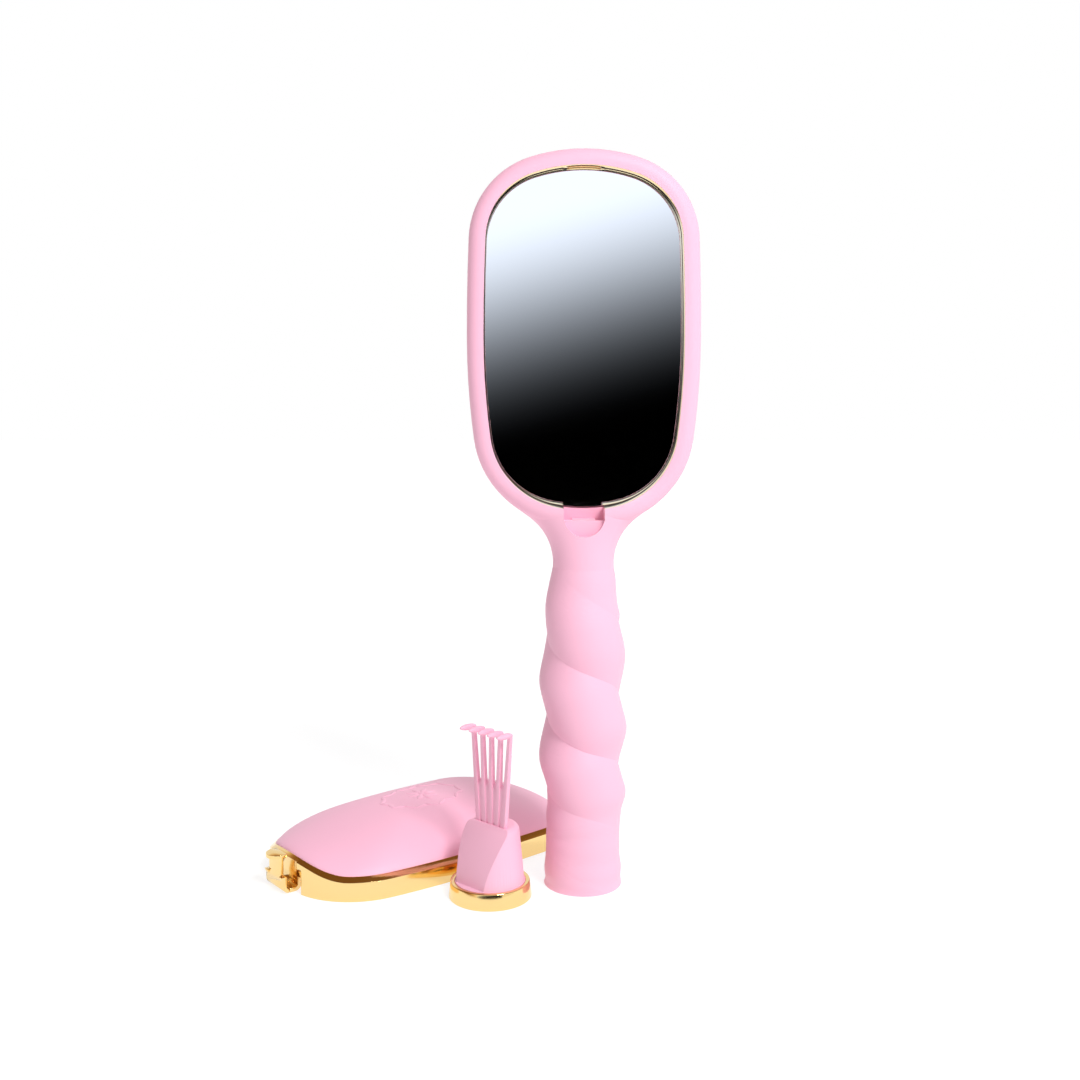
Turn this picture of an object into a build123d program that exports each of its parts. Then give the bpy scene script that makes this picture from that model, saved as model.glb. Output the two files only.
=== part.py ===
from build123d import *
import math
import os

# A hairbrush that stands on its hollow handle, with a mirror in the back of the head,
# the lid that closes over the mirror, and the cleaning tool that is kept in the handle.
# The lid and the tool lie beside the brush. Millimetres, +Z up, the mirror faces -Y, and
# the origin is the centre of the handle's open end.

# ---- Driving dimensions ----

# Mirror pocket: its outline is an oval of arcs, a side, a corner and an end arc per quarter.
POCKET_HALF_WIDTH = 32.0
POCKET_HALF_LENGTH = 54.4
FAR_ARCS = (720.0, 22.3, 52.0)      # side, corner and end radius, away from the handle
NECK_ARCS = (238.0, 25.4, 49.0)     # the same, towards the handle
POCKET_NECK_Z = 124.1               # height of the outline's end above the neck
POCKET_DEPTH = 6.15
FLARE_LENGTH = 11.2                 # of the pocket's wall that grows deeper towards the neck
FLARE_RADIUS = 14.0
FLARE_HEIGHT = 11.2                 # from the mirror to the rim's face above the neck
LIP_ROUND = 5.0

# Head.
MIRROR_Y = 1.6                      # the mirror's front face
HEAD_BACK_Y = 14.0
RIM_WIDTH = 5.5
RIM_ROUND = 4.2
BACK_ROUND = 6.0
WEB = 2.0                           # floor between the mirror and the bristle side

# Mirror.
BEZEL_WALL = 0.4
BEZEL_SET_BACK = 0.6                # of its edge behind the head's lip
GLASS = 2.0
PAD = 0.5
PAD_INSET = 1.0
SLIP = 0.05                         # between pieces fitted together for good

# Bristle side.
CUSHION_INSET = 7.6                 # from the head's outline to the cushion's edge
CUSHION_LEDGE = 2.6
CUSHION_THICKNESS = 1.4
CUSHION_RISE = 4.6
CUSHION_STEPS = 8
RING_HEIGHT = 2.2
RING_PROUD = 0.5
PIN_PITCH = 6.9
PIN_MARGIN = 4.6                    # from the ring to the outermost pins
PIN_FIELD_POWER = 2.6               # of the rounded oval that the pins fill; 2 is an ellipse
PIN_RADIUS = 0.6
PIN_BALL = 1.0
PIN_FOOT = 1.5
PIN_FOOT_HEIGHT = 0.7
PIN_SEAT = 0.7                      # from the cushion's nominal underside to the foot
PIN_LENGTH = 14.0                   # of the pin outside the cushion
PIN_FAN = 9.0                       # degrees that the outermost pins lean out

# Handle: two strands twisted about each other on a round core.
NECK_RADIUS = 9.9
NECK_TOP = 109.0
BORE_RADIUS = 11.15
BORE_MOUTH = 23.0
INNER_BORE_RADIUS = 10.5
BORE_DEPTH = 56.0
CORE = ((0, 12.73), (14, 12.05), (20, 12.05), (40, 11.6), (84, 11.6), (99, 10.7), (105, NECK_RADIUS))
STRAND_A = ((14.5, 0.0), (29, 2.1), (45, 2.5), (60, 2.4), (76, 1.9), (90, 1.5), (105, 0.0))
STRAND_B = ((30, 0.0), (40, 2.0), (50, 2.5), (70, 2.5), (83, 1.8), (94, 0.0))
CREASES = (25.5, 46.8, 72.3, 96.9)  # heights where a groove crosses the handle's front
CREASE_LEAN = 0.28                  # how much the grooves rise towards +X
TWIST_BOTTOM = 12.0
TWIST_TOP = 100.0
SECTION_STEP = 4.0

# Neck: half-width, half-depth, middle and height of its oval sections.
NECK_SECTIONS = ((10.06, 9.95, 0.0, 108.6), (11.5, 10.15, 0.3, 113.5), (14.7, 10.6, 0.8, 118.3),
                 (20.9, 11.2, 1.5, 123.2), (25.9, 10.9, 2.4, 128.1))

# Latch slot in the neck, with a half-moon recess for the thumb and two pockets in its floor.
SLOT_HALF_WIDTH = 6.5
SLOT_HEIGHT = 3.6
THUMB_RECESS = 2.5
THUMB_DROP = 2.1                    # from the pocket's end to the middle of the half-moon
CATCH_DEPTH = 1.2
LATCH_CLEARANCE = 0.3

# Lid.
LID_PLACE = (-55.91, 29.94)
LID_ANGLE = 39.6
LID_CLEARANCE = 0.35
LID_WALL = 1.5
LID_FLANGE_WIDTH = 3.4
LID_FLANGE = 1.5
BAND_WIDTH = 1.8                    # the sloping band between the lid's wall and its dome
BAND_HEIGHT = 1.35
DOME_GAP = 0.2                      # from the band to the dome
DOME_EDGE = 0.6                     # height of the dome's edge all round
DOME_HEIGHT = 12.0
DOME_FULLNESS = 0.7
DOME_WALL = 1.8
DOME_STEPS = 10
DOME_TOP_ANGLE = 84.0               # degrees; the flat on top is its cosine
HOOK_HALF_WIDTH = 5.0
HOOK_REACH = 0.8
HOOK_BOTTOM = 1.0
HOOK_THICKNESS = 1.2
HOOK_CLEARANCE = 0.25

# Latch: a U-shaped strip, its inner leg fixed under the lid's flange.
LATCH_REACH = 3.5                   # from the lid's end to the outer leg's face
LATCH_WIDTH = 6.4                   # of the whole U, from leg to leg
LATCH_LIFT = 0.2
LATCH_CORNER = 2.0
STRIP = 1.3
STRIP_HALF_WIDTH = 3.7
SHOULDER = 5.6                      # height where the strip narrows
BARB = 0.7
TAB_TOP = 12.25
TAB_THICKNESS = 1.2
TAB_REACH = 2.6
TAB_GAP = 1.0                       # from the tab to the lid's end
BEND_GAP = 0.3
WINDOW_SIDE = 3.4                   # beside the strip

# Cleaning tool.
TOOL_PLACE = (-30.08, -10.8)
TOOL_ANGLE = -43.0
CAP_RADIUS = 13.41
CAP_LIP_RADIUS = 12.73
CAP_HEIGHT = 5.2
CAP_WALL = 1.4
CAP_FLOOR = 1.5
CAP_ROUND = 0.4
PLUG_CLEARANCE = 0.15
PLUG_TIP_RADIUS = 9.27
PLUG_TOP = 23.2
PLUG_ROUND = 2.0
FACE_LOW = 9.1                      # from the axis to the sloping face at the cap
FACE_HIGH = 0.5                     # and at the top
FACE_BULGE = 1.4                    # how far the face swells out halfway up
PRONGS = 5
PRONG_PITCH_LOW = 2.78
PRONG_PITCH_HIGH = 4.12
PRONG_SIDE_LOW = 1.7
PRONG_SIDE_HIGH = 1.2
PRONG_TOP = 53.5
PRONG_ROW_Y = 0.85
WEB_TOP = 36.6
WEB_THICKNESS = 0.9
WEB_SLOPE = 1.8
TANG = 5.0
BEAK_LENGTH = 7.2                   # of the spindle-shaped hook on each prong
BEAK_RADIUS = 0.98
BEAK_BACK = 1.1                     # how far it reaches behind the prong's middle
BEAK_RISE = 3.0                     # degrees
BEAK_STEPS = 3
BEAK_END_ANGLE = 76.0               # degrees; the blunt ends are its cosine


# ---- Shared outlines ----

def quarter(radii):
    """The corner arc's centre and the angles at which the three arcs of a quarter meet."""
    side, corner, end = radii
    side_centre = Vector(POCKET_HALF_WIDTH - side, 0)
    end_centre = Vector(0, POCKET_HALF_LENGTH - end)
    span = end_centre - side_centre
    from_side = side - corner
    from_end = end - corner
    along = (span.length ** 2 + from_side ** 2 - from_end ** 2) / (2 * span.length)
    across = math.sqrt(from_side ** 2 - along ** 2)
    unit = span.normalized()
    corner_centre = side_centre + unit * along + Vector(-unit.Y, unit.X) * across
    low = corner_centre - side_centre
    high = corner_centre - end_centre
    return corner_centre, math.degrees(math.atan2(low.Y, low.X)), math.degrees(math.atan2(high.Y, high.X))


def half_oval(radii, inset):
    """One end of the pocket's outline, moved inwards by inset."""
    side, corner, end = radii
    middle, low, high = quarter(radii)
    return [
        CenterArc((POCKET_HALF_WIDTH - side, 0), side - inset, 0, low),
        CenterArc((middle.X, middle.Y), corner - inset, low, high - low),
        CenterArc((0, POCKET_HALF_LENGTH - end), end - inset, high, 180 - 2 * high),
        CenterArc((-middle.X, middle.Y), corner - inset, 180 - high, high - low),
        CenterArc((side - POCKET_HALF_WIDTH, 0), side - inset, 180 - low, low),
    ]


def oval(inset=0.0):
    """The pocket's outline, moved inwards by inset, as a face: X across, Y towards the far end."""
    neck_end = [edge.rotate(Axis.Z, 180) for edge in half_oval(NECK_ARCS, inset)]
    return make_face(Wire(half_oval(FAR_ARCS, inset) + neck_end).edges())


FAR_BEYOND = 60.0                   # larger than any piece is deep
HEAD_CENTRE_Z = POCKET_NECK_Z + POCKET_HALF_LENGTH


def in_front(lift, rounded):
    """All beyond the head's rim moved out by lift: X along the head, Y away from the mirror.

    The rim is level along the head and comes forward at the neck in an arc, which a second
    arc rounds off where the head does, and a straight slope continues on the lid.
    """
    flare_centre = Vector(FLARE_LENGTH - POCKET_HALF_LENGTH, POCKET_DEPTH + FLARE_RADIUS)
    lip_y = FLARE_HEIGHT - LIP_ROUND
    apart = FLARE_RADIUS + LIP_ROUND
    lip_centre = Vector(flare_centre.X - math.sqrt(apart ** 2 - (flare_centre.Y - lip_y) ** 2), lip_y)
    radial = (lip_centre - flare_centre).normalized()
    meet = flare_centre + radial * (FLARE_RADIUS - lift)
    level = (flare_centre.X, POCKET_DEPTH + lift)
    edges = TangentArc(level, (meet.X, meet.Y), tangent=(-1, 0)).edges()
    if rounded:
        crest = (lip_centre.X, FLARE_HEIGHT + lift)
        edges += TangentArc(crest, (meet.X, meet.Y), tangent=(1, 0)).edges()
        neck_end = (crest[0] - FAR_BEYOND, crest[1])
        edges += Line(crest, neck_end).edges()
    else:
        slope_end = meet + Vector(radial.Y, -radial.X) * FAR_BEYOND
        neck_end = (slope_end.X, slope_end.Y)
        edges += Line((meet.X, meet.Y), neck_end).edges()
    far_end = POCKET_HALF_LENGTH + FAR_BEYOND
    edges += Polyline(neck_end, (neck_end[0], 2 * FAR_BEYOND), (far_end, 2 * FAR_BEYOND),
                      (far_end, level[1]), level).edges()
    return make_face(edges)


def head_slab(front, back, inset=0.0):
    """A slab of the pocket's outline between two depths of the head."""
    plane = Plane(origin=(0, back, HEAD_CENTRE_Z), x_dir=(1, 0, 0), z_dir=(0, -1, 0))
    return extrude(plane * oval(inset), amount=back - front)


HEAD_SIDE = Plane(origin=(0, MIRROR_Y, HEAD_CENTRE_Z), x_dir=(0, 0, 1), z_dir=(1, 0, 0))
LID_FRAME = Plane(origin=(0, 0, 0), x_dir=(0, -1, 0), z_dir=(0, 0, 1))


def lid_slab(bottom, top, inset):
    """A slab of the pocket's outline in the lid's own frame: X towards its far end."""
    return extrude(LID_FRAME.offset(bottom) * oval(inset), amount=top - bottom)


def blend(points, at):
    """Smooth value of a list of (place, value) pairs, level beyond both ends."""
    if at <= points[0][0]:
        return points[0][1]
    for (low, start), (high, stop) in zip(points, points[1:]):
        if at <= high:
            share = (at - low) / (high - low)
            return start + (stop - start) * (3 - 2 * share) * share ** 2
    return points[-1][1]


# ---- Brush ----

RIM_Y = MIRROR_Y - POCKET_DEPTH
FRONT_Y = MIRROR_Y - FLARE_HEIGHT - LIP_ROUND    # in front of the whole head
SLOT_FLOOR_Z = POCKET_NECK_Z - SLOT_HEIGHT
WELL_Y = MIRROR_Y + GLASS + PAD + WEB
CHAMBER_INSET = CUSHION_INSET - RIM_WIDTH
LEDGE_Y = HEAD_BACK_Y + RING_PROUD - RING_HEIGHT - CUSHION_THICKNESS
PIN_INSET = CHAMBER_INSET + CUSHION_LEDGE + PIN_MARGIN
PIN_ROWS = 2 * int((POCKET_HALF_LENGTH - PIN_INSET) / PIN_PITCH) + 1
SAME_PLACE = 0.01


def front_cut(set_back=0):
    """All that lies in front of the rim, or of a face set back behind it."""
    return Pos(0, set_back, 0) * extrude(HEAD_SIDE * in_front(0, True), amount=FAR_BEYOND, both=True)


def head():
    """The head's shell before anything is cut into it, with its rounded rim and back."""
    blank = head_slab(FRONT_Y, HEAD_BACK_Y, -RIM_WIDTH) - front_cut()
    back = blank.edges().filter_by(lambda edge: edge.center().Y > HEAD_BACK_Y - SAME_PLACE)
    blank = fillet(back, BACK_ROUND)
    outline = [edge for edge in blank.edges() if on_rim(edge)]
    return fillet(outline, RIM_ROUND)


def on_rim(edge):
    """Whether an edge runs along the outside of the head's front face."""
    side_edge = edge.geom_type == GeomType.LINE
    return edge.center().Y < RIM_Y + SAME_PLACE and not side_edge


def section(height):
    """The handle's outline at a height: two arcs that meet at the grooves."""
    core = blend(CORE, height)
    turn = groove_angle(height)
    lean = CREASE_LEAN * blend(((TWIST_BOTTOM, 0), (CREASES[0], 1), (CREASES[2], 1), (TWIST_TOP, 0)), height)

    def at(angle, radius):
        x = radius * math.sin(angle)
        return (x, -radius * math.cos(angle), height + lean * x)

    bulge_a, bulge_b = (offset + math.hypot(core, offset)
                        for offset in (blend(STRAND_A, height), blend(STRAND_B, height)))
    first = at(turn, core)
    second = at(turn + math.pi, core)
    strand_a = ThreePointArc(first, at(turn + math.pi / 2, bulge_a), second)
    strand_b = ThreePointArc(second, at(turn - math.pi / 2, bulge_b), first)
    return Wire([strand_a, strand_b])


def groove_angle(height):
    """The angle of a groove at a height, half a turn from one crossing of the front to the next."""
    low = 0
    while low < len(CREASES) - 2 and height > CREASES[low + 1]:
        low += 1
    share = (height - CREASES[low]) / (CREASES[low + 1] - CREASES[low])
    return -math.pi * (low + share)


def handle():
    """The handle without its bore: the twisted strands and the plain neck above them."""
    count = round(NECK_TOP / SECTION_STEP)
    twisted = Solid.make_loft([section(NECK_TOP * step / count) for step in range(count + 1)])
    sections = [Plane.XY.offset(CORE[-1][0]) * Circle(NECK_RADIUS)]
    for half_width, half_depth, middle, height in NECK_SECTIONS:
        sections.append(Plane((0, middle, height)) * Ellipse(half_width, half_depth))
    return twisted, loft(sections)


def latch_slot():
    """The slot that the latch snaps into, two pockets for its barbs and the recess for a thumb."""
    depth = MIRROR_Y - FRONT_Y
    middle_low = (Align.CENTER, Align.MIN, Align.MIN)
    slot = Pos(0, FRONT_Y, SLOT_FLOOR_Z) * Box(
        2 * SLOT_HALF_WIDTH, depth, SLOT_HEIGHT + LIP_ROUND, align=middle_low)
    catch_depth = SHOULDER + LATCH_CLEARANCE
    catches = Pos(0, MIRROR_Y - catch_depth, SLOT_FLOOR_Z - CATCH_DEPTH) * Box(
        2 * SLOT_HALF_WIDTH, catch_depth, CATCH_DEPTH, align=middle_low)
    catches -= Pos(0, FRONT_Y, SLOT_FLOOR_Z - CATCH_DEPTH) * Box(
        2 * STRIP_HALF_WIDTH, depth, CATCH_DEPTH, align=middle_low)
    thumb_back = THUMB_RECESS - NECK_RADIUS
    thumb = Pos(0, thumb_back, POCKET_NECK_Z - THUMB_DROP) * Rot(90, 0, 0) * Cylinder(
        SLOT_HALF_WIDTH, FAR_BEYOND, align=(Align.CENTER, Align.CENTER, Align.MIN))
    return slot, catches, thumb


def hook_notch():
    """Room for the lid's hook at the far end of the pocket."""
    reach = HOOK_REACH - LID_CLEARANCE + HOOK_CLEARANCE
    far_end = HEAD_CENTRE_Z + POCKET_HALF_LENGTH
    height = HOOK_THICKNESS + 2 * HOOK_CLEARANCE
    return Pos(0, MIRROR_Y - HOOK_BOTTOM + HOOK_CLEARANCE, far_end - LID_WALL) * Box(
        2 * (HOOK_HALF_WIDTH + HOOK_CLEARANCE), height, LID_WALL + reach,
        align=(Align.CENTER, Align.MAX, Align.MIN))


def brush_body():
    twisted, neck = handle()
    body = head() + neck + twisted
    pocket_floor = MIRROR_Y + GLASS + PAD
    body -= head_slab(FRONT_Y, pocket_floor)
    body -= head_slab(FRONT_Y, pocket_floor, -BEZEL_WALL - SLIP) - front_cut(BEZEL_SET_BACK - SLIP)
    body -= head_slab(WELL_Y, HEAD_BACK_Y + FAR_BEYOND, CHAMBER_INSET + CUSHION_LEDGE)
    body -= head_slab(LEDGE_Y, HEAD_BACK_Y + FAR_BEYOND, CHAMBER_INSET)
    for cut in latch_slot():
        body -= cut
    body -= hook_notch()
    low = (Align.CENTER, Align.CENTER, Align.MIN)
    body -= Cylinder(BORE_RADIUS, BORE_MOUTH, align=low)
    body -= Cylinder(INNER_BORE_RADIUS, BORE_DEPTH, align=low)
    return body


def mirror_bezel():
    """The thin lining of the pocket's wall, open at the latch slot."""
    ring = head_slab(FRONT_Y, MIRROR_Y + GLASS, -BEZEL_WALL) - head_slab(FRONT_Y, MIRROR_Y + GLASS)
    ring -= front_cut(BEZEL_SET_BACK)
    gap = Pos(0, 0, POCKET_NECK_Z) * Box(2 * SLOT_HALF_WIDTH, FAR_BEYOND, 4 * BEZEL_WALL)
    return ring - gap - hook_notch()


def mirror_glass():
    return head_slab(MIRROR_Y, MIRROR_Y + GLASS, 2 * SLIP)


def mirror_pad():
    return head_slab(MIRROR_Y + GLASS, MIRROR_Y + GLASS + PAD, PAD_INSET)


def cushion_height(x, z):
    """Depth of the cushion's outside behind a point of the head."""
    half_width = POCKET_HALF_WIDTH - CHAMBER_INSET - CUSHION_LEDGE
    half_length = POCKET_HALF_LENGTH - CHAMBER_INSET - CUSHION_LEDGE
    share = (x / half_width) ** 2 + (z / half_length) ** 2
    return LEDGE_Y + CUSHION_THICKNESS + CUSHION_RISE * (1 - share)


def cushion():
    """A thin domed rubber pad, its edge held on a ledge by the ring, with a hole for each pin."""
    seat = CHAMBER_INSET + SLIP
    flange = head_slab(LEDGE_Y, LEDGE_Y + CUSHION_THICKNESS, seat)
    inner = CHAMBER_INSET + CUSHION_LEDGE + SLIP
    edge = LEDGE_Y + CUSHION_THICKNESS
    pad = flange + cushion_bulge(inner, edge) - cushion_bulge(inner + CUSHION_THICKNESS, edge - CUSHION_THICKNESS)
    return pad - [pin for row in range(PIN_ROWS) for pin in pin_row(row)]


def cushion_bulge(inset, base):
    """A low dome behind the head, with straight sides below its edge."""
    sections = []
    for step in range(CUSHION_STEPS + 1):
        angle = math.radians(DOME_TOP_ANGLE) * step / CUSHION_STEPS
        depth = base + CUSHION_RISE * math.sin(angle) ** 2
        plane = Plane(origin=(0, depth, HEAD_CENTRE_Z), x_dir=(1, 0, 0), z_dir=(0, -1, 0))
        sections.append(plane * scale(oval(inset), by=math.cos(angle)))
    return head_slab(base - CUSHION_THICKNESS, base, inset) + loft(sections)


def cushion_ring():
    """The ring that snaps into the head and holds the cushion's edge."""
    front = LEDGE_Y + CUSHION_THICKNESS
    ring = head_slab(front, HEAD_BACK_Y + RING_PROUD, CHAMBER_INSET + SLIP)
    return ring - head_slab(0, HEAD_BACK_Y + FAR_BEYOND, CHAMBER_INSET + CUSHION_LEDGE)


def pin_row(row):
    """The pins of one row across the head."""
    z = (row - (PIN_ROWS - 1) / 2) * PIN_PITCH
    return [pin(x, z) for x in pin_columns(z, row)]


def pin_columns(z, row):
    """Places across the head where a row has a pin; every other row is shifted by half a pitch."""
    share = abs(z) / (POCKET_HALF_LENGTH - PIN_INSET)
    reach = (POCKET_HALF_WIDTH - PIN_INSET) * (1 - share ** PIN_FIELD_POWER) ** (1 / PIN_FIELD_POWER)
    shifted = (row - PIN_ROWS // 2) % 2
    first = PIN_PITCH / 2 if shifted else 0.0
    columns = []
    while first <= reach:
        columns += [first, -first] if first else [0.0]
        first += PIN_PITCH
    return sorted(columns)


def pin(x, z):
    """A pin with a ball tip and a flat foot under the cushion, leaning out from the middle."""
    outside = cushion_height(x, z)
    foot = outside - CUSHION_THICKNESS - PIN_SEAT - PIN_FOOT_HEIGHT
    top = outside + PIN_LENGTH
    upright = Align.CENTER, Align.CENTER, Align.MIN
    solid = Cylinder(PIN_RADIUS, top - foot, align=upright)
    solid += Cylinder(PIN_FOOT, PIN_FOOT_HEIGHT, align=upright)
    solid += Pos(0, 0, top - foot) * Sphere(PIN_BALL)
    lean_x = PIN_FAN * x / POCKET_HALF_WIDTH
    lean_z = PIN_FAN * z / POCKET_HALF_LENGTH
    at_cushion = Pos(x, outside, HEAD_CENTRE_Z + z) * Rot(lean_z, 0, -lean_x) * Rot(-90, 0, 0)
    return at_cushion * Pos(0, 0, foot - outside) * solid


# ---- Lid ----

LID_FAR = POCKET_HALF_LENGTH - LID_CLEARANCE
LID_TOP = POCKET_DEPTH + BAND_HEIGHT
LATCH_OUTER = LID_FAR + LATCH_REACH
LATCH_INNER = LATCH_OUTER - LATCH_WIDTH
FOOT_HALF_WIDTH = SLOT_HALF_WIDTH - 2 * LATCH_CLEARANCE


def above(lift):
    """All that lies above the lid's wall by lift, following its rise at the latch."""
    return extrude(Plane.XZ * in_front(lift, False), amount=FAR_BEYOND, both=True)


def end_block(inner, outer, half_width, bottom, top):
    """A block at the lid's latch end, between two distances from the lid's centre."""
    return Pos(-inner, 0, bottom) * Box(
        outer - inner, 2 * half_width, top - bottom, align=(Align.MAX, Align.CENTER, Align.MIN))


def latch_foot(inner, outer):
    """The wide lower part of the U, between two distances from the lid's centre."""
    middle = Pos(-(LATCH_INNER + LATCH_OUTER) / 2, LATCH_LIFT)
    low = (Align.CENTER, Align.MIN)
    outside = middle * RectangleRounded(LATCH_WIDTH, FAR_BEYOND, LATCH_CORNER, align=low)
    inside = middle * Pos(0, STRIP) * RectangleRounded(
        LATCH_WIDTH - 2 * STRIP, FAR_BEYOND, LATCH_CORNER - STRIP, align=low)
    strip = extrude(Plane.XZ * (outside - inside), amount=FOOT_HALF_WIDTH, both=True)
    return strip & end_block(inner, outer, FAR_BEYOND, 0, SHOULDER)


def lid_frame():
    """The lid's wall, the sloping band, the flange under the dome, the hook and the latch's inner leg."""
    wall = lid_slab(0, FAR_BEYOND / 2, LID_CLEARANCE) - above(BAND_HEIGHT)
    level = wall.faces().filter_by(Axis.Z).sort_by(Axis.Z)[-1]
    far_edge = level.edges().sort_by(Axis.X)[-1]
    wall = chamfer(far_edge, BAND_WIDTH, BAND_HEIGHT, reference=level)
    under_flange = above(BAND_HEIGHT - LID_FLANGE)
    wall -= lid_slab(0, FAR_BEYOND, LID_CLEARANCE + LID_WALL) - under_flange
    wall -= lid_slab(0, FAR_BEYOND, LID_CLEARANCE + LID_FLANGE_WIDTH)
    window = end_block(LATCH_INNER, LATCH_OUTER, STRIP_HALF_WIDTH + WINDOW_SIDE, 0, FAR_BEYOND)
    window += end_block(LATCH_INNER, LATCH_OUTER, FOOT_HALF_WIDTH + WINDOW_SIDE, 0, SHOULDER)
    wall -= window - under_flange
    leg = end_block(LATCH_INNER, LATCH_INNER + STRIP, STRIP_HALF_WIDTH, SHOULDER, FAR_BEYOND)
    leg -= above(BAND_HEIGHT - LID_FLANGE / 2)
    foot = latch_foot(LATCH_INNER, LATCH_OUTER - LATCH_CORNER - BEND_GAP)
    hook = Pos(LID_FAR - LID_WALL, 0, HOOK_BOTTOM) * Box(
        LID_WALL + HOOK_REACH, 2 * HOOK_HALF_WIDTH, HOOK_THICKNESS, align=(Align.MIN, Align.CENTER, Align.MIN))
    return wall + leg + foot + hook


def latch_tongue():
    """The latch's outer leg, with a barb on each side and a tab for the thumb."""
    strip = end_block(LATCH_OUTER - STRIP, LATCH_OUTER, STRIP_HALF_WIDTH, SHOULDER, TAB_TOP)
    foot = latch_foot(LATCH_OUTER - LATCH_CORNER, LATCH_OUTER)
    barb = Polyline((-LATCH_OUTER, SHOULDER), (-LATCH_OUTER - BARB, SHOULDER),
                    (-LATCH_OUTER, SHOULDER - 2 * BARB), close=True)
    barb = extrude(Plane.XZ * make_face(barb), amount=FOOT_HALF_WIDTH, both=True)
    barb -= end_block(LATCH_OUTER, LATCH_OUTER + BARB, STRIP_HALF_WIDTH + LATCH_CLEARANCE, 0, TAB_TOP)
    disc_middle = LATCH_OUTER + TAB_REACH - STRIP_HALF_WIDTH
    tab = Pos(-disc_middle, 0, TAB_TOP - TAB_THICKNESS) * Cylinder(
        STRIP_HALF_WIDTH, TAB_THICKNESS, align=(Align.CENTER, Align.CENTER, Align.MIN))
    tab += end_block(LID_FAR + TAB_GAP, disc_middle, STRIP_HALF_WIDTH, TAB_TOP - TAB_THICKNESS, TAB_TOP)
    tab -= end_block(0, LID_FAR + TAB_GAP, FAR_BEYOND, 0, FAR_BEYOND)
    return strip + foot + barb + tab


def dome_solid(inset, rise, base):
    """A full dome over the lid's outline, with straight sides below its edge."""
    sections = []
    for step in range(DOME_STEPS + 1):
        angle = math.radians(DOME_TOP_ANGLE) * step / DOME_STEPS
        height = base + rise * math.sin(angle) ** (2 * DOME_FULLNESS)
        sections.append(LID_FRAME.offset(height) * scale(oval(inset), by=math.cos(angle)))
    return lid_slab(0, base, inset) + loft(sections)


def lid_dome():
    """The domed shell on the lid's flange."""
    edge = LID_CLEARANCE + BAND_WIDTH + DOME_GAP
    outside = dome_solid(edge, DOME_HEIGHT, LID_TOP)
    outside += lid_slab(0, FAR_BEYOND, edge) - above(BAND_HEIGHT + DOME_EDGE)
    inside = dome_solid(edge + DOME_WALL, DOME_HEIGHT - DOME_WALL, LID_TOP)
    return (outside - inside) & above(BAND_HEIGHT)


# ---- Cleaning tool ----

def end_cap():
    """The cup that closes the handle, with its outside widening to the foot."""
    inner = CAP_LIP_RADIUS - CAP_WALL
    profile = make_face(Polyline(
        (0, 0), (CAP_RADIUS - CAP_ROUND, 0), (CAP_RADIUS, CAP_ROUND), (CAP_LIP_RADIUS, CAP_HEIGHT),
        (inner, CAP_HEIGHT), (inner, CAP_FLOOR), (0, CAP_FLOOR), close=True))
    return revolve(Plane.XZ * profile, Axis.Z)


def sloping_waste():
    """All that the tool's sloping face leaves off: in front of an arc from its foot to its top."""
    foot = Vector(-FACE_LOW, CAP_HEIGHT)
    top = Vector(-FACE_HIGH, PLUG_TOP)
    outwards = Vector(foot.Y - top.Y, top.X - foot.X).normalized()
    middle = (foot + top) / 2 + outwards * FACE_BULGE
    face = ThreePointArc((foot.X, foot.Y), (middle.X, middle.Y), (top.X, top.Y))
    rest = Polyline((top.X, top.Y), (top.X, FAR_BEYOND), (-FAR_BEYOND, FAR_BEYOND),
                    (-FAR_BEYOND, foot.Y), (foot.X, foot.Y))
    return extrude(Plane.YZ * make_face(face.edges() + rest.edges()), amount=FAR_BEYOND, both=True)


def tool_block():
    """The plug that guides the tool in the handle, cut to a slope below the prongs."""
    seat = CAP_LIP_RADIUS - CAP_WALL - SLIP
    guide = BORE_RADIUS - PLUG_CLEARANCE
    profile = make_face(Polyline((0, CAP_FLOOR), (seat, CAP_FLOOR), (seat, CAP_HEIGHT), (guide, CAP_HEIGHT),
                                 (PLUG_TIP_RADIUS, PLUG_TOP), (0, PLUG_TOP), close=True))
    block = revolve(Plane.XZ * profile, Axis.Z)
    block = fillet(block.edges().sort_by(Axis.Z)[-1], PLUG_ROUND)
    return block - sloping_waste() - tang()


def tang():
    """The flat root of the rake, sunk in the block."""
    width = (PRONGS - 1) * PRONG_PITCH_LOW + PRONG_SIDE_LOW
    return Pos(0, PRONG_ROW_Y, PLUG_TOP) * Box(
        width, WEB_THICKNESS, TANG, align=(Align.CENTER, Align.CENTER, Align.MAX))


def prong(index):
    """One square prong, leaning out with its place in the row, and the hook on its top."""
    place = index - (PRONGS - 1) / 2
    foot = Plane.XY.offset(PLUG_TOP) * Pos(place * PRONG_PITCH_LOW, PRONG_ROW_Y) * Rectangle(
        PRONG_SIDE_LOW, PRONG_SIDE_LOW)
    top = Plane.XY.offset(PRONG_TOP) * Pos(place * PRONG_PITCH_HIGH, PRONG_ROW_Y) * Rectangle(
        PRONG_SIDE_HIGH, PRONG_SIDE_HIGH)
    beak = Pos(place * PRONG_PITCH_HIGH, PRONG_ROW_Y, PRONG_TOP) * Rot(-BEAK_RISE, 0, 0) * spindle()
    return loft([foot, top]) + beak


def spindle():
    """The hook on a prong: a spindle that reaches forward from behind the prong's middle."""
    half = BEAK_LENGTH / 2
    sections = []
    for step in range(-BEAK_STEPS, BEAK_STEPS + 1):
        angle = math.radians(BEAK_END_ANGLE) * step / BEAK_STEPS
        sections.append(Plane.XZ.offset(half * math.sin(angle)) * Circle(BEAK_RADIUS * math.cos(angle)))
    return Pos(0, BEAK_BACK - half, 0) * loft(sections)


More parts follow.
